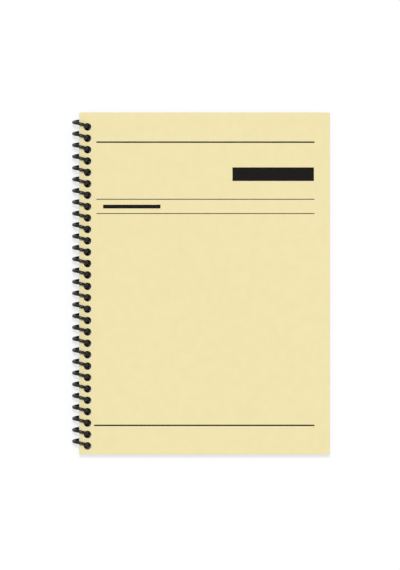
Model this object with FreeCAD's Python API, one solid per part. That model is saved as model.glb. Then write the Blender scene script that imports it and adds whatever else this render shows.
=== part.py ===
"""Spiral notebook: two covers and a block of sheets, held by one plastic coil wound through punched holes.

Frame, in millimetres: the origin is the bottom centre of the closed notebook's box. +X points from the coil
to the fore edge, +Y to the top of the page and +Z up out of the front cover.
"""

import FreeCAD, Part
import math
import os

from FreeCAD import Vector

# Leaves: the sheets and both covers are cut alike
LEAF_WIDTH = 139.7
LEAF_HEIGHT = 190.5
SHEET_COUNT = 30
SHEET_THICKNESS = 0.10
FRONT_CARD_THICKNESS = 0.40
BACK_BOARD_THICKNESS = 0.60
COVER_GAP = 0.30  # air between each cover and the sheets, where the covers' spine edges swing past

# Punching: one row of round holes along the spine edge
HOLE_DIAMETER = 4.3
HOLE_PITCH = 6.35
HOLE_INSET = 4.6  # hole centres from the spine edge
HOLE_SIDES = 16  # flats that touch the round hole's circle, few enough to keep the leaves' meshes light
FIRST_HOLE_DROP = 8.05  # first hole centre below the top edge
LAST_HOLE_MARGIN = 4.0  # least distance from the last hole's centre to the bottom edge

# Binding coil: a left-hand helix about an axis along Y. It climbs evenly through the holes and over the front,
# lies flatter at the spine side and makes up for that under the back, as a soft coil settles in a closed book.
FILAMENT_DIAMETER = 1.75
COIL_OUTER_DIAMETER = 10.0
COIL_AXIS_INSET = 0.94  # coil axis from the spine edge, towards the fore edge
STEPS_PER_TURN = 12  # straight runs to a turn
FILAMENT_SIDES = 8  # flats round the filament
START_ANGLE = -55.0  # round the axis from the fore edge over the top, in degrees
END_ANGLE = 270.0  # the same, on the turn above the first hole
EVEN_START = -60.0  # the even climb runs from here, below the back cover's holes
SPINE_SIDE_START = 103.0  # to here, above the spine edge
SPINE_SIDE_END = 257.0
SPINE_SIDE_CLIMB = 1.6

# Crimped ends: the last of the filament is bent in along the coil, so that it can't wind out of the holes
CRIMP_TURN = 104.0
CRIMP_RADIUS = 1.1
CRIMP_STEPS = 4
CRIMP_LEG = 2.0

# Heights: the coil stands on the ground, and the sheets lie at its middle
filament_radius = FILAMENT_DIAMETER / 2
coil_radius = COIL_OUTER_DIAMETER / 2 - filament_radius
coil_z = COIL_OUTER_DIAMETER / 2
block_thickness = SHEET_COUNT * SHEET_THICKNESS
block_bottom = coil_z - block_thickness / 2
back_bottom = block_bottom - COVER_GAP - BACK_BOARD_THICKNESS
front_bottom = block_bottom + block_thickness + COVER_GAP

# Widths: the box runs from the coil's outer side to the fore edge
coil_overhang = COIL_OUTER_DIAMETER / 2 - COIL_AXIS_INSET
spine_x = coil_overhang - (coil_overhang + LEAF_WIDTH) / 2
coil_x = spine_x + COIL_AXIS_INSET
hole_x = spine_x + HOLE_INSET

# Along the spine: the row has as many holes as fit, and the coil passes through the middle of each
row_length = LEAF_HEIGHT - FIRST_HOLE_DROP - LAST_HOLE_MARGIN
hole_count = 1 + math.floor(row_length / HOLE_PITCH)
last_hole_y = LEAF_HEIGHT / 2 - FIRST_HOLE_DROP - (hole_count - 1) * HOLE_PITCH
even_climb = HOLE_PITCH / 360  # a degree
lay = [
    (EVEN_START, EVEN_START * even_climb),
    (SPINE_SIDE_START, SPINE_SIDE_START * even_climb),
    (SPINE_SIDE_END, SPINE_SIDE_START * even_climb + SPINE_SIDE_CLIMB),
    (EVEN_START + 360, (EVEN_START + 360) * even_climb),
]


def punched_hole(centre):
    """The outline of one punched hole."""
    corner_radius = HOLE_DIAMETER / 2 / math.cos(math.pi / HOLE_SIDES)
    corners = []
    for side in range(HOLE_SIDES):
        turn = 2 * math.pi * side / HOLE_SIDES
        corners.append(centre + Vector(math.cos(turn), math.sin(turn), 0) * corner_radius)
    return Part.makePolygon(corners + corners[:1])


def punched_leaf(bottom, thickness):
    """A leaf of the given thickness with the row of holes, its underside at the height bottom."""
    corner = Vector(spine_x, -LEAF_HEIGHT / 2, bottom)
    outline = Part.makePlane(LEAF_WIDTH, LEAF_HEIGHT, corner).OuterWire
    centres = [Vector(hole_x, last_hole_y + number * HOLE_PITCH, bottom) for number in range(hole_count)]
    holes = [punched_hole(centre) for centre in centres]
    face = Part.Face([outline] + holes, "Part::FaceMakerBullseye")
    return face.extrude(Vector(0, 0, thickness))


def climb(angle):
    """How far the filament has climbed at an angle in degrees, from the fore edge over the top."""
    turns = math.floor((angle - EVEN_START) / 360)
    within = angle - turns * 360
    for (start, low), (end, high) in zip(lay, lay[1:]):
        if within <= end:
            return turns * HOLE_PITCH + low + (high - low) * (within - start) / (end - start)


def coil_point(angle):
    """A point of the filament's centreline, at an angle in degrees."""
    turned = math.radians(angle)
    return Vector(
        coil_x + coil_radius * math.cos(turned),
        last_hole_y + climb(angle),
        coil_z + coil_radius * math.sin(turned),
    )


def coil_direction(angle):
    """The filament's direction at an angle, towards the top of the page."""
    return (coil_point(angle + 0.5) - coil_point(angle - 0.5)).normalize()


def crimp(angle, outward):
    """Centreline points of a crimped end, from the coil outwards: a tight bend, then a short straight leg.

    The bend lies in the plane that touches the coil's cylinder, and turns the filament back along the coil.
    """
    heading = coil_direction(angle) * outward
    inward = Vector(0, -outward, 0)
    side = inward - heading * inward.dot(heading)
    side.normalize()
    start = coil_point(angle)
    points = []
    for step in range(1, CRIMP_STEPS + 1):
        turned = math.radians(CRIMP_TURN) * step / CRIMP_STEPS
        ahead = heading * (CRIMP_RADIUS * math.sin(turned))
        aside = side * (CRIMP_RADIUS * (1 - math.cos(turned)))
        points.append(start + ahead + aside)
    last_turn = math.radians(CRIMP_TURN)
    leg = heading * math.cos(last_turn) + side * math.sin(last_turn)
    points.append(points[-1] + leg * CRIMP_LEG)
    return points


def coil_centreline():
    """The whole filament's centreline as points, from the bottom of the page to its top."""
    end = END_ANGLE + (hole_count - 1) * 360
    steps = round((end - START_ANGLE) / 360 * STEPS_PER_TURN)
    turns = [coil_point(START_ANGLE + (end - START_ANGLE) * step / steps) for step in range(steps + 1)]
    bottom_crimp = crimp(START_ANGLE, -1)
    bottom_crimp.reverse()
    return bottom_crimp + turns + crimp(end, 1)


def mitred_filament(points, radius, sides):
    """A solid of straight prisms along the points, mitred where they meet, with a flat cut at each end."""
    runs = [(after - before).normalize() for before, after in zip(points, points[1:])]
    across = runs[0].cross(Vector(1, 0, 0)).normalize()
    upward = runs[0].cross(across)
    ring = []
    for corner in range(sides):
        turn = 2 * math.pi * corner / sides
        ring.append(points[0] + across * (radius * math.cos(turn)) + upward * (radius * math.sin(turn)))
    rings = [ring]
    for number, run in enumerate(runs):
        end = points[number + 1]
        mitre = run if number + 1 == len(runs) else run + runs[number + 1]
        ring = [corner + run * ((end - corner).dot(mitre) / run.dot(mitre)) for corner in ring]
        rings.append(ring)
    faces = [Part.Face(Part.makePolygon(cut + cut[:1])) for cut in (rings[0], rings[-1])]
    for lower, upper in zip(rings, rings[1:]):
        for corner in range(sides):
            following = (corner + 1) % sides
            edge_loop = [lower[corner], lower[following], upper[following], upper[corner], lower[corner]]
            faces.append(Part.Face(Part.makePolygon(edge_loop)))
    shell = Part.makeShell(faces)
    shell.sewShape()
    return Part.makeSolid(shell)


def binding_coil():
    """The coil with its crimped ends, its sides set so that its section has the round filament's area."""
    round_area = math.pi * filament_radius**2
    unit_area = FILAMENT_SIDES / 2 * math.sin(2 * math.pi / FILAMENT_SIDES)
    return mitred_filament(coil_centreline(), math.sqrt(round_area / unit_area), FILAMENT_SIDES)


pieces = {
    "back_cover": punched_leaf(back_bottom, BACK_BOARD_THICKNESS),
    "page_block": punched_leaf(block_bottom, block_thickness),
    "front_cover": punched_leaf(front_bottom, FRONT_CARD_THICKNESS),
    "binding_coil": binding_coil(),
}

os.makedirs("parts", exist_ok=True)
for name, shape in pieces.items():
    if not shape.isValid() or len(shape.Solids) != 1:
        raise RuntimeError(name + " isn't one valid solid")
    shape.exportStep("parts/" + name + ".step")
    box = shape.BoundBox
    print(name, round(shape.Volume, 1), "mm3", "Z", round(box.ZMin, 3), "to", round(box.ZMax, 3))
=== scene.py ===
"""Looks of a coil-bound notebook: buff card covers, a block of plain sheets and a glossy black PVC coil.

Lengths are in metres. +X runs from the coil to the fore edge, +Y to the top of the page and +Z up.
"""

import math
import random

import bpy
from mathutils import Matrix, Vector


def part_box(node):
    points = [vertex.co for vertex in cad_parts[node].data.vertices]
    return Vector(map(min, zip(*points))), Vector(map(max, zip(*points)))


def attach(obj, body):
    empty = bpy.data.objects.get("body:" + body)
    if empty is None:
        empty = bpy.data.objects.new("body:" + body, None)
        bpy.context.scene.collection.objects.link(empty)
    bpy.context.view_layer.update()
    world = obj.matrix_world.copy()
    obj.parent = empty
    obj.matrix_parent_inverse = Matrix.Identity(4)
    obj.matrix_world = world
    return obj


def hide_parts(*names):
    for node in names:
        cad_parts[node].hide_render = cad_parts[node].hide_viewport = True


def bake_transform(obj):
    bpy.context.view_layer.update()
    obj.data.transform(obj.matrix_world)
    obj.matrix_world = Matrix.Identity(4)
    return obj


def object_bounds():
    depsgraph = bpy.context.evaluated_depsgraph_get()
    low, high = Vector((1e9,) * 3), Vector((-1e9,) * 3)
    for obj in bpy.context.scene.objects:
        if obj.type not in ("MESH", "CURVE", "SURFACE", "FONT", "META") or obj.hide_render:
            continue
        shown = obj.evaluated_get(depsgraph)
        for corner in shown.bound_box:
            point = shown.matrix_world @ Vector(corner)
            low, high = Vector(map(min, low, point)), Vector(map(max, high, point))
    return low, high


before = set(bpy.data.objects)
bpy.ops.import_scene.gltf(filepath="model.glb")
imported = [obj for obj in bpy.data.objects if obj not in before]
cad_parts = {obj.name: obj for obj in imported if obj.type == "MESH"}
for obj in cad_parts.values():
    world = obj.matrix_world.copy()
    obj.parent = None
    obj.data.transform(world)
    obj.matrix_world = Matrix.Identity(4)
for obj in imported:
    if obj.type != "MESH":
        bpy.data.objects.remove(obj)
cad_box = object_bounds()
MM = 0.001

# Punching and coil, as the solids have them
HOLE_DIAMETER = 4.3 * MM
HOLE_PITCH = 6.35 * MM
HOLE_COUNT = 29
HOLE_INSET = 4.6 * MM
FIRST_HOLE_DROP = 8.05 * MM
FILAMENT_DIAMETER = 1.75 * MM
COIL_OUTER_DIAMETER = 10.0 * MM
COIL_AXIS_INSET = 0.94 * MM
SHEET_COUNT = 30

front_low, front_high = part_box("front_cover")
block_low, block_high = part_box("page_block")
back_low, back_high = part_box("back_cover")
spine_x = front_low.x
hole_x = spine_x + HOLE_INSET
coil_x = spine_x + COIL_AXIS_INSET
coil_z = (block_low.z + block_high.z) / 2
coil_radius = COIL_OUTER_DIAMETER / 2 - FILAMENT_DIAMETER / 2
first_hole_y = front_high.y - FIRST_HOLE_DROP
last_hole_y = first_hole_y - (HOLE_COUNT - 1) * HOLE_PITCH


# Editing helpers


def deselect_all():
    bpy.ops.object.select_all(action="DESELECT")


def settle(name):
    """Names the new primitive and moves its place into its mesh."""
    piece = bpy.context.object
    piece.name = piece.data.name = name
    bpy.ops.object.transform_apply(location=True, rotation=True, scale=True)
    return piece


def make_active(piece):
    deselect_all()
    piece.select_set(True)
    bpy.context.view_layer.objects.active = piece


def apply_modifier(piece, kind, **settings):
    """Adds a modifier with its settings and applies it."""
    make_active(piece)
    modifier = piece.modifiers.new(kind.title(), kind)
    for key, value in settings.items():
        setattr(modifier, key, value)
    bpy.ops.object.modifier_apply(modifier=modifier.name)


def joined(pieces):
    """Joins pieces into the first of them."""
    if len(pieces) == 1:
        return pieces[0]
    deselect_all()
    for piece in pieces:
        piece.select_set(True)
    bpy.context.view_layer.objects.active = pieces[0]
    bpy.ops.object.join()
    return pieces[0]


def row_of_copies(piece, count, step):
    """Repeats a piece along a step, inside its own mesh."""
    apply_modifier(
        piece,
        "ARRAY",
        count=count,
        use_relative_offset=False,
        use_constant_offset=True,
        constant_offset_displace=step,
    )


def edit(piece, mode="VERT"):
    """Opens a piece for editing with nothing selected."""
    make_active(piece)
    bpy.ops.object.mode_set(mode="EDIT")
    bpy.ops.mesh.select_mode(type=mode)
    bpy.ops.mesh.select_all(action="DESELECT")


def close_edit():
    bpy.ops.mesh.select_all(action="DESELECT")
    bpy.ops.object.mode_set(mode="OBJECT")


# Leaves: card, board and sheets, cut and punched alike
PIN_SIDES = 32
CUT_EDGE = math.radians(40)  # edges sharper than this are softened
CARD_SMOOTHING = math.radians(20)
SHEET_FILL = 0.86  # a sheet's share of its place in the block, the rest being air
JOG = 0.07 * MM


def two_slots(piece):
    """Empty material slots: the first for the faces of the stock, the second for what the punch cuts."""
    for _ in range(2):
        piece.data.materials.append(None)


def punch_row():
    """The punch's pins, one for each hole."""
    deselect_all()
    bpy.ops.mesh.primitive_cylinder_add(
        vertices=PIN_SIDES,
        radius=HOLE_DIAMETER / 2,
        depth=2 * cad_box[1].z,
        location=(hole_x, first_hole_y, coil_z),
    )
    pins = settle("punch_pins")
    two_slots(pins)
    for face in pins.data.polygons:
        face.material_index = 1
    row_of_copies(pins, HOLE_COUNT, (0, -HOLE_PITCH, 0))
    return pins


def punched_leaf(name, low, high, pins):
    """A leaf between two corners, with the row of holes cut through it."""
    deselect_all()
    bpy.ops.mesh.primitive_cube_add(size=1, location=(low + high) / 2, scale=high - low)
    leaf = settle(name)
    two_slots(leaf)
    apply_modifier(leaf, "BOOLEAN", object=pins, operation="DIFFERENCE", solver="EXACT")
    return leaf


def soften_cut_edges(leaf, width):
    """The small round that the cutter and the punch leave on card."""
    apply_modifier(leaf, "BEVEL", width=width, segments=2, limit_method="ANGLE", angle_limit=CUT_EDGE)
    bpy.ops.object.shade_smooth_by_angle(angle=CARD_SMOOTHING)


def sheet_stack(pins, stock, cut):
    """The sheets, each jogged by a few hundredths of a millimetre, as knocked-up sheets lie."""
    spacing = (block_high.z - block_low.z) / SHEET_COUNT
    low = Vector((block_low.x + JOG, block_low.y + JOG, block_low.z))
    high = Vector((block_high.x - JOG, block_high.y - JOG, block_low.z + SHEET_FILL * spacing))
    first = punched_leaf("sheets", low, high, pins)
    dress(first, stock, cut)
    shuffle = random.Random(5)
    sheets = [first]
    for number in range(1, SHEET_COUNT):
        copy = first.copy()
        copy.data = first.data.copy()
        bpy.context.collection.objects.link(copy)
        aside = Vector((shuffle.uniform(-JOG, JOG), shuffle.uniform(-JOG, JOG), number * spacing))
        copy.data.transform(Matrix.Translation(aside))
        sheets.append(copy)
    return joined(sheets)


# Coil: a left-hand helix. It climbs evenly through the holes and over the front, lies flatter at the spine
# side and makes up for that under the back, as a soft coil settles in a closed book. Angles are in degrees
# round its axis, from the fore edge over the top, and 0 lies in a hole, halfway through the sheets.
TURN = 360
START = -55  # the low end, under the back cover's lowest hole
EVEN_START = -60  # the even climb runs from here
TOP_OF_SPINE = 103  # to here, above the spine edge
FOOT_OF_SPINE = 257  # and the flatter climb ends here, below it
END = 270  # the top end, on the turn that starts in the highest hole
SPINE_SIDE_CLIMB = 1.6 * MM
even_climb = HOLE_PITCH / TURN
lay = [
    (EVEN_START, EVEN_START * even_climb),
    (TOP_OF_SPINE, TOP_OF_SPINE * even_climb),
    (FOOT_OF_SPINE, TOP_OF_SPINE * even_climb + SPINE_SIDE_CLIMB),
    (EVEN_START + TURN, (EVEN_START + TURN) * even_climb),
]

# The filament's mesh: rings joined by short straight runs
FILAMENT_SIDES = 20
RING_STEP = 4  # degrees from ring to ring
END_STEP = 0.4  # degrees of a short stretch at each end of an arc
MERGE_DISTANCE = 0.005 * MM
FILAMENT_SMOOTHING = math.radians(50)

# The arcs that each turn is cut into. The outer arcs run from the hole to under the back.
HOLE_EXIT = 38  # just above the front cover
OUTER_ARCS = 23
LAST_TURN_ARCS = 19  # the last turn ends sooner, in one more arc with the crimp
outer_arc = (END - HOLE_EXIT) / (LAST_TURN_ARCS + 1)
unwound = HOLE_EXIT + OUTER_ARCS * outer_arc  # from here the filament stays with the sheets
GAP_SLICES = 28  # rows of faces between the sheets and the front cover
SLICE_TOLERANCE = 0.0005 * MM

# Crimps: the ends are bent in along the coil
CRIMP_TURN = math.radians(104)
CRIMP_RADIUS = 1.1 * MM
CRIMP_LEG = 2.0 * MM
CRIMP_STEPS = 10
CHORD = 0.5  # degrees, over which the filament's heading is taken
RING_TOLERANCE = 0.01 * MM


def climb(angle):
    """How far the filament has climbed at an angle."""
    turns = math.floor((angle - EVEN_START) / TURN)
    within = angle - turns * TURN
    for (start, low), (end, high) in zip(lay, lay[1:]):
        if within <= end:
            return turns * HOLE_PITCH + low + (high - low) * (within - start) / (end - start)


def coil_point(angle):
    """A point of the filament's centreline, while the coil is still modelled about the origin's Y axis."""
    turned = math.radians(angle)
    return Vector(
        (
            coil_radius * math.cos(turned),
            last_hole_y + climb(angle),
            coil_radius * math.sin(turned),
        )
    )


def swept_arc(name, first, last):
    """An open arc of filament, in stretches that each have an even climb.

    Each ring stands square to the coil's circle and is stretched along the coil, so that the slanted
    filament comes out round. The first and last stretch are short, so that the shine runs on unbroken.
    """
    slant = math.atan(HOLE_PITCH / (2 * math.pi * coil_radius))
    bends = [angle for angle, _ in lay if first + END_STEP < angle < last - END_STEP]
    angles = [first, first + END_STEP, *bends, last - END_STEP, last]
    stretches = []
    for start, end in zip(angles, angles[1:]):
        deselect_all()
        bpy.ops.mesh.primitive_circle_add(
            vertices=FILAMENT_SIDES,
            radius=FILAMENT_DIAMETER / 2,
            location=coil_point(start),
            rotation=(0, -math.radians(start), 0),
            scale=(1, 1 / math.cos(slant), 1),
        )
        stretch = settle(name)
        steps = max(1, round((end - start) / RING_STEP))
        apply_modifier(
            stretch,
            "SCREW",
            axis="Y",
            angle=math.radians(start - end),
            screw_offset=climb(end) - climb(start),
            steps=steps,
            render_steps=steps,
        )
        stretches.append(stretch)
    arc = joined(stretches)
    edit(arc)
    bpy.ops.mesh.select_all(action="SELECT")
    bpy.ops.mesh.remove_doubles(threshold=MERGE_DISTANCE)
    close_edit()
    return arc


def crimp(arc, angle, outward):
    """Bends an open end in along the coil and adds a short leg.

    The bend lies in the plane that touches the coil's cylinder. outward is 1 at the top end, -1 at the low.
    """
    tip = coil_point(angle)
    heading = (tip - coil_point(angle - outward * CHORD)).normalized()
    inward = Vector((0, -outward, 0))
    side = (inward - heading * inward.dot(heading)).normalized()
    edit(arc)
    bpy.ops.object.mode_set(mode="OBJECT")
    turned = math.radians(angle)
    ring_normal = Vector((-math.sin(turned), 0, math.cos(turned)))
    for vertex in arc.data.vertices:
        offset = vertex.co - tip
        on_ring = abs(offset.dot(ring_normal)) < RING_TOLERANCE
        vertex.select = on_ring and offset.length < FILAMENT_DIAMETER
    bpy.ops.object.mode_set(mode="EDIT")
    bpy.ops.mesh.spin(
        steps=CRIMP_STEPS,
        angle=CRIMP_TURN,
        center=tip + side * CRIMP_RADIUS,
        axis=side.cross(heading),
    )
    leg = heading * math.cos(CRIMP_TURN) + side * math.sin(CRIMP_TURN)
    bpy.ops.mesh.extrude_region_move(TRANSFORM_OT_translate={"value": leg * CRIMP_LEG})
    close_edit()


def finished(arc, count=1):
    """Closes an arc's open ends, repeats it on each turn and moves it to the coil's own axis."""
    edit(arc, "EDGE")
    bpy.ops.mesh.select_non_manifold()
    bpy.ops.mesh.fill_holes(sides=0)
    bpy.ops.mesh.select_all(action="SELECT")
    bpy.ops.mesh.normals_make_consistent(inside=False)
    close_edit()
    row_of_copies(arc, count, (0, HOLE_PITCH, 0))
    make_active(arc)
    bpy.ops.object.shade_smooth_by_angle(angle=FILAMENT_SMOOTHING)
    arc.data.transform(Matrix.Translation((coil_x, 0, coil_z)))
    return arc


def coil_in_sheets():
    """What stays with the sheets: the arcs that come up from under the back, and the crimped low end."""
    under = swept_arc("coil_in_sheets", unwound, TURN)
    row_of_copies(under, HOLE_COUNT - 1, (0, HOLE_PITCH, 0))
    low_end = swept_arc("low_end", START, 0)
    crimp(low_end, START, -1)
    return finished(joined([under, low_end]))


def coil_top_end():
    """The last stretch on the last turn, crimped."""
    top_end = swept_arc("coil_top_end", END - outer_arc, END)
    crimp(top_end, END, 1)
    top_end.data.transform(Matrix.Translation((0, (HOLE_COUNT - 1) * HOLE_PITCH, 0)))
    return finished(top_end)


def coil_in_front_holes():
    """The arcs in the holes, sliced level under the front cover."""
    arc = swept_arc("coil_in_front_holes", 0, HOLE_EXIT)
    edit(arc)
    for number in range(GAP_SLICES + 1):
        level = block_high.z + (front_low.z - block_high.z) * number / GAP_SLICES - coil_z
        bpy.ops.mesh.select_all(action="SELECT")
        bpy.ops.mesh.bisect(plane_co=(0, 0, level), plane_no=(0, 0, 1), threshold=SLICE_TOLERANCE)
    close_edit()
    return finished(arc, HOLE_COUNT)


def blend_outer_arc(arc, first):
    """Works out a line across the coil from the arc's two ends, and moves the arc's placement into its mesh.
    It sets no blend, so the arc doesn't follow the turning cover.
    """
    angles = (first, first + outer_arc)
    near, far = (coil_point(angle) + Vector((coil_x, 0, coil_z)) for angle in angles)
    far.y = near.y  # the line lies across the coil
    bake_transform(arc)


# Print: fields of ink that stand a hair above the card and reach a little into it
INK_FILM = 0.012 * MM
INK_ROOT = 0.006 * MM


def ink_fields(name, fields):
    """Flat fields of ink, in mm: left and right from the spine edge, top and bottom from the top edge."""
    made = []
    for left, right, top, bottom in fields:
        deselect_all()
        centre = (
            spine_x + (left + right) / 2 * MM,
            front_high.y - (top + bottom) / 2 * MM,
            front_high.z + (INK_FILM - INK_ROOT) / 2,
        )
        size = ((right - left) * MM, (bottom - top) * MM, INK_FILM + INK_ROOT)
        bpy.ops.mesh.primitive_cube_add(size=1, location=centre, scale=size)
        made.append(settle(name))
    return joined(made)


# Materials
FIBRE_SHARE = 0.55  # how strongly a stock's fibres show beside its clouds
SHADE_START = 0.2 * MM  # the floor's shade starts this far in from the leaves' outline
SHADE_FULL = 2.4 * MM  # and is full this far in


def linear(hex_colour):
    """An sRGB hex colour as linear RGBA."""
    channels = [int(hex_colour[i : i + 2], 16) / 255 for i in (1, 3, 5)]
    return [c / 12.92 if c <= 0.04045 else ((c + 0.055) / 1.055) ** 2.4 for c in channels] + [1.0]


def add_node(tree, kind, settings=None, inputs=None):
    """Adds a node with its settings, and its inputs as values or as links from other nodes' sockets."""
    node = tree.nodes.new(kind)
    for key, value in (settings or {}).items():
        setattr(node, key, value)
    for key, value in (inputs or {}).items():
        if isinstance(value, bpy.types.NodeSocket):
            tree.links.new(value, node.inputs[key])
        else:
            node.inputs[key].default_value = value
    return node


def new_material(name):
    material = bpy.data.materials.new(name)
    material.use_nodes = True
    material.node_tree.nodes.clear()
    return material, material.node_tree


def finish_material(tree, shader):
    add_node(tree, "ShaderNodeOutputMaterial", inputs={"Surface": shader.outputs[0]})


def fibre_stock(name, light, dark, cloud_mm, fibre_mm, relief_mm, roughness):
    """Uncoated paper stock: cloudy formation, short fibres that show as faint flecks, and a soft tooth."""
    material, tree = new_material(name)
    place = add_node(tree, "ShaderNodeTexCoord").outputs["Object"]
    cloud = add_node(
        tree, "ShaderNodeTexNoise", inputs={"Vector": place, "Scale": 1 / (cloud_mm * MM), "Detail": 3.0}
    )
    stretched = add_node(tree, "ShaderNodeMapping", inputs={"Vector": place, "Scale": (1.0, 2.6, 1.0)})
    fibre = add_node(
        tree,
        "ShaderNodeTexNoise",
        inputs={"Vector": stretched.outputs[0], "Scale": 1 / (fibre_mm * MM), "Detail": 4.0},
    )
    blend = add_node(
        tree,
        "ShaderNodeMath",
        {"operation": "MULTIPLY_ADD"},
        {0: fibre.outputs["Fac"], 1: FIBRE_SHARE, 2: cloud.outputs["Fac"]},
    )
    ramp = add_node(tree, "ShaderNodeValToRGB", inputs={"Fac": blend.outputs[0]})
    ramp.color_ramp.elements[0].position = 0.45
    ramp.color_ramp.elements[0].color = linear(dark)
    ramp.color_ramp.elements[1].position = 1.05
    ramp.color_ramp.elements[1].color = linear(light)
    tooth = add_node(
        tree,
        "ShaderNodeBump",
        inputs={"Strength": 0.35, "Distance": relief_mm * MM, "Height": fibre.outputs["Fac"]},
    )
    shader = add_node(
        tree,
        "ShaderNodeBsdfPrincipled",
        inputs={
            "Base Color": ramp.outputs["Color"],
            "Roughness": roughness,
            "IOR": 1.47,
            "Normal": tooth.outputs["Normal"],
        },
    )
    finish_material(tree, shader)
    return material


def pvc_filament():
    """Extruded black PVC: glossy, its skin slightly uneven, so that the shine is hazier in places."""
    material, tree = new_material("extruded_black_pvc")
    place = add_node(tree, "ShaderNodeTexCoord").outputs["Object"]
    skin = add_node(
        tree, "ShaderNodeTexNoise", inputs={"Vector": place, "Scale": 1 / (0.9 * MM), "Detail": 2.0}
    )
    haze = add_node(
        tree,
        "ShaderNodeMapRange",
        inputs={"Value": skin.outputs["Fac"], "To Min": 0.3, "To Max": 0.42},
    )
    uneven = add_node(
        tree,
        "ShaderNodeBump",
        inputs={"Strength": 0.25, "Distance": 0.02 * MM, "Height": skin.outputs["Fac"]},
    )
    shader = add_node(
        tree,
        "ShaderNodeBsdfPrincipled",
        inputs={
            "Base Color": linear("#08080A"),
            "Roughness": haze.outputs["Result"],
            "IOR": 1.53,
            "Normal": uneven.outputs["Normal"],
        },
    )
    finish_material(tree, shader)
    return material


def offset_ink():
    """Black offset ink on uncoated card: matt, and a little browner where it lies thin."""
    material, tree = new_material("offset_ink")
    place = add_node(tree, "ShaderNodeTexCoord").outputs["Object"]
    mottle = add_node(
        tree, "ShaderNodeTexNoise", inputs={"Vector": place, "Scale": 1 / (0.6 * MM), "Detail": 4.0}
    )
    ramp = add_node(tree, "ShaderNodeValToRGB", inputs={"Fac": mottle.outputs["Fac"]})
    ramp.color_ramp.elements[0].position = 0.25
    ramp.color_ramp.elements[0].color = linear("#1B1815")
    ramp.color_ramp.elements[1].position = 0.6
    ramp.color_ramp.elements[1].color = linear("#12100E")
    shader = add_node(
        tree,
        "ShaderNodeBsdfPrincipled",
        inputs={"Base Color": ramp.outputs["Color"], "Roughness": 0.7, "Specular IOR Level": 0.12},
    )
    finish_material(tree, shader)
    return material


def studio_white(name, lift):
    """White paper sweep, lifted to white for the camera everywhere but in the dark under the notebook."""
    material, tree = new_material(name)
    place = add_node(tree, "ShaderNodeTexCoord").outputs["Object"]
    axes = add_node(tree, "ShaderNodeSeparateXYZ", inputs={"Vector": place})
    outside = []
    for axis, low, high in (("X", front_low.x, front_high.x), ("Y", front_low.y, front_high.y)):
        offset = add_node(
            tree,
            "ShaderNodeMath",
            {"operation": "SUBTRACT"},
            {0: axes.outputs[axis], 1: (low + high) / 2},
        )
        size = add_node(tree, "ShaderNodeMath", {"operation": "ABSOLUTE"}, {0: offset.outputs[0]})
        past_edge = add_node(
            tree,
            "ShaderNodeMath",
            {"operation": "SUBTRACT"},
            {0: size.outputs[0], 1: (high - low) / 2},
        )
        outside.append(past_edge.outputs[0])
    nearest = add_node(tree, "ShaderNodeMath", {"operation": "MAXIMUM"}, {0: outside[0], 1: outside[1]})
    open_floor = add_node(
        tree,
        "ShaderNodeMapRange",
        {"interpolation_type": "SMOOTHSTEP"},
        {"Value": nearest.outputs[0], "From Min": -SHADE_FULL, "From Max": -SHADE_START},
    )
    seen = add_node(tree, "ShaderNodeLightPath")
    mirrored = add_node(
        tree,
        "ShaderNodeMath",
        {"operation": "MAXIMUM"},
        {0: seen.outputs["Is Glossy Ray"], 1: seen.outputs["Is Transmission Ray"]},
    )
    direct = add_node(
        tree,
        "ShaderNodeMath",
        {"operation": "MAXIMUM"},
        {0: seen.outputs["Is Camera Ray"], 1: mirrored.outputs[0]},
    )
    shown = add_node(
        tree,
        "ShaderNodeMath",
        {"operation": "MULTIPLY"},
        {0: direct.outputs[0], 1: open_floor.outputs["Result"]},
    )
    strength = add_node(tree, "ShaderNodeMath", {"operation": "MULTIPLY"}, {0: shown.outputs[0], 1: lift})
    glow = add_node(
        tree,
        "ShaderNodeEmission",
        inputs={"Color": (1, 1, 1, 1), "Strength": strength.outputs[0]},
    )
    sweep = add_node(tree, "ShaderNodeBsdfDiffuse", inputs={"Color": (0.34, 0.34, 0.345, 1)})
    both = add_node(tree, "ShaderNodeAddShader", inputs={0: sweep.outputs[0], 1: glow.outputs[0]})
    finish_material(tree, both)
    return material


def hole_edge_painted_shade():
    """Painted shade: the cut edges inside the punched holes are coloured near black, in flat streaks, as if
    in deep shade.
    """
    material, tree = new_material("hole_edge_painted_shade")
    place = add_node(tree, "ShaderNodeTexCoord").outputs["Object"]
    layers = add_node(tree, "ShaderNodeMapping", inputs={"Vector": place, "Scale": (1.0, 1.0, 6.0)})
    streaks = add_node(
        tree,
        "ShaderNodeTexNoise",
        inputs={"Vector": layers.outputs[0], "Scale": 1 / (0.8 * MM), "Detail": 2.0},
    )
    ramp = add_node(tree, "ShaderNodeValToRGB", inputs={"Fac": streaks.outputs["Fac"]})
    ramp.color_ramp.elements[0].position = 0.3
    ramp.color_ramp.elements[0].color = linear("#080808")
    ramp.color_ramp.elements[1].position = 0.75
    ramp.color_ramp.elements[1].color = linear("#121211")
    shader = add_node(
        tree,
        "ShaderNodeBsdfPrincipled",
        inputs={"Base Color": ramp.outputs["Color"], "Roughness": 0.8, "Specular IOR Level": 0.1},
    )
    finish_material(tree, shader)
    return material


def dress(piece, *materials, slot=None):
    """Gives a piece its materials in slot order; its slot argument is not used."""
    for number, material in enumerate(materials):
        if number < len(piece.data.materials):
            piece.data.materials[number] = material
        else:
            piece.data.materials.append(material)


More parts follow.
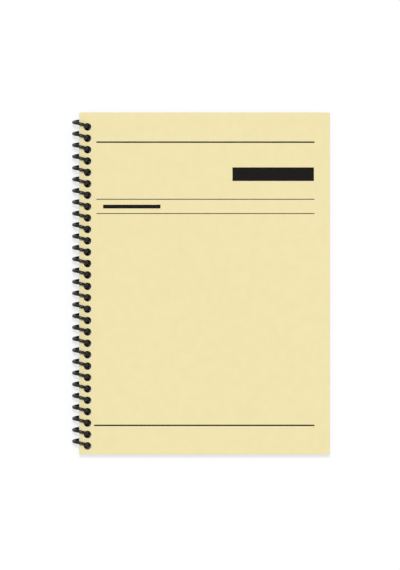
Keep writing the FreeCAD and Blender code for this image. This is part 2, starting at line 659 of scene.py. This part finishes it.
card = fibre_stock(
    "buff_uncoated_card",
    light="#F3E6B2",
    dark="#EFE2AD",
    cloud_mm=5.0,
    fibre_mm=0.7,
    relief_mm=0.02,
    roughness=0.86,
)
board = fibre_stock(
    "buff_greyback_board",
    light="#E9DCAE",
    dark="#DDCF9F",
    cloud_mm=4.0,
    fibre_mm=0.9,
    relief_mm=0.05,
    roughness=0.9,
)
paper = fibre_stock(
    "white_writing_paper",
    light="#F8F6EF",
    dark="#F2F0E8",
    cloud_mm=6.0,
    fibre_mm=0.6,
    relief_mm=0.02,
    roughness=0.84,
)
# the punched hole walls take a painted shade, near black
hole_wall_shade = hole_edge_painted_shade()
pvc = pvc_filament()
ink = offset_ink()

# Leaves
pins = punch_row()
front = punched_leaf("front_card", front_low, front_high, pins)
soften_cut_edges(front, 0.05 * MM)
back = punched_leaf("back_board_leaf", back_low, back_high, pins)
soften_cut_edges(back, 0.06 * MM)
# the sheets' hole walls take the painted shade too
sheets = sheet_stack(pins, paper, hole_wall_shade)
bpy.data.objects.remove(pins)
# the covers' hole walls take the painted shade as well
dress(front, card, hole_wall_shade, slot="cover_card")
dress(back, board, hole_wall_shade, slot="back_board")
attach(front, "front_cover")
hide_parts("front_cover")
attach(back, "back_cover")
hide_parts("back_cover")
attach(sheets, "pad")
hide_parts("page_block")

# Print
rules = ink_fields(
    "printed_rules",
    [
        (9.6, 131.1, 16.14, 16.94),  # head
        (9.6, 131.1, 48.14, 48.60),  # above the small bar
        (9.6, 131.1, 56.1, 56.54),  # below it
        (8.3, 131.1, 173.96, 174.76),  # foot
    ],
)
bars = ink_fields(
    "printed_bars",
    [
        (85.4, 130.8, 30.6, 38.2),  # large, on the right
        (13.3, 45.3, 51.4, 53.5),  # small, on the left
    ],
)
for print_piece in (rules, bars):
    dress(print_piece, ink)
    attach(print_piece, "front_cover")

# Coil
in_sheets = coil_in_sheets()
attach(in_sheets, "pad")
in_front = coil_in_front_holes()
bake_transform(in_front)
top_end = coil_top_end()
blend_outer_arc(top_end, END - outer_arc)
coil = [in_sheets, in_front, top_end]
for number in range(OUTER_ARCS):
    first = HOLE_EXIT + number * outer_arc
    arc = swept_arc("coil_outer_" + str(number + 1), first, first + outer_arc)
    coil.append(finished(arc, HOLE_COUNT if number < LAST_TURN_ARCS else HOLE_COUNT - 1))
    blend_outer_arc(arc, first)
for arc in coil:
    dress(arc, pvc, slot="coil_plastic")
    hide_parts("binding_coil")

# Floor
deselect_all()
bpy.ops.mesh.primitive_plane_add(size=14, location=(0, 0, min(0, cad_box[0].z)))
floor = settle("studio_floor")
dress(floor, studio_white("studio_sweep", 0.68))

# Light: an even surround, white to the camera and dimmer as a light, and one soft lamp a little beyond the
# head of the page
world = bpy.data.worlds.new("studio_surround")
bpy.context.scene.world = world
world.use_nodes = True
sky = world.node_tree
sky.nodes.clear()
ray = add_node(sky, "ShaderNodeLightPath")
direct = add_node(
    sky,
    "ShaderNodeMath",
    {"operation": "MAXIMUM"},
    {0: ray.outputs["Is Camera Ray"], 1: ray.outputs["Is Transmission Ray"]},
)
level = add_node(
    sky, "ShaderNodeMapRange", inputs={"Value": direct.outputs[0], "To Min": 0.45, "To Max": 1.0}
)
surround = add_node(
    sky,
    "ShaderNodeBackground",
    inputs={"Color": (1, 1, 1, 1), "Strength": level.outputs["Result"]},
)
add_node(sky, "ShaderNodeOutputWorld", inputs={"Surface": surround.outputs[0]})

deselect_all()
bpy.ops.object.light_add(type="SUN", rotation=(math.radians(-14.5), 0, 0))
lamp = bpy.context.object
lamp.data.energy = 1.77
lamp.data.angle = math.radians(12.5)

# Camera: straight above the cover, from far off
VIEW_WIDTH = 222.9 * MM
VIEW_SHAPE = 1.425  # height to width
AIM_LEFT = 2.54 * MM  # of the cover's middle
AIM_BELOW = 0.9 * MM
LENS = 500.0
SENSOR = 36.0
camera_data = bpy.data.cameras.new("camera")
camera = bpy.data.objects.new("camera", camera_data)
bpy.context.collection.objects.link(camera)
camera_data.lens = LENS
camera_data.sensor_width = SENSOR
camera_data.clip_end = 20
distance = VIEW_SHAPE * VIEW_WIDTH / 2 * LENS / (SENSOR / 2)
cover_centre = (front_low + front_high) / 2
camera.location = (cover_centre.x - AIM_LEFT, cover_centre.y - AIM_BELOW, front_high.z + distance)
bpy.context.scene.camera = camera
bpy.context.scene.view_settings.view_transform = "Standard"
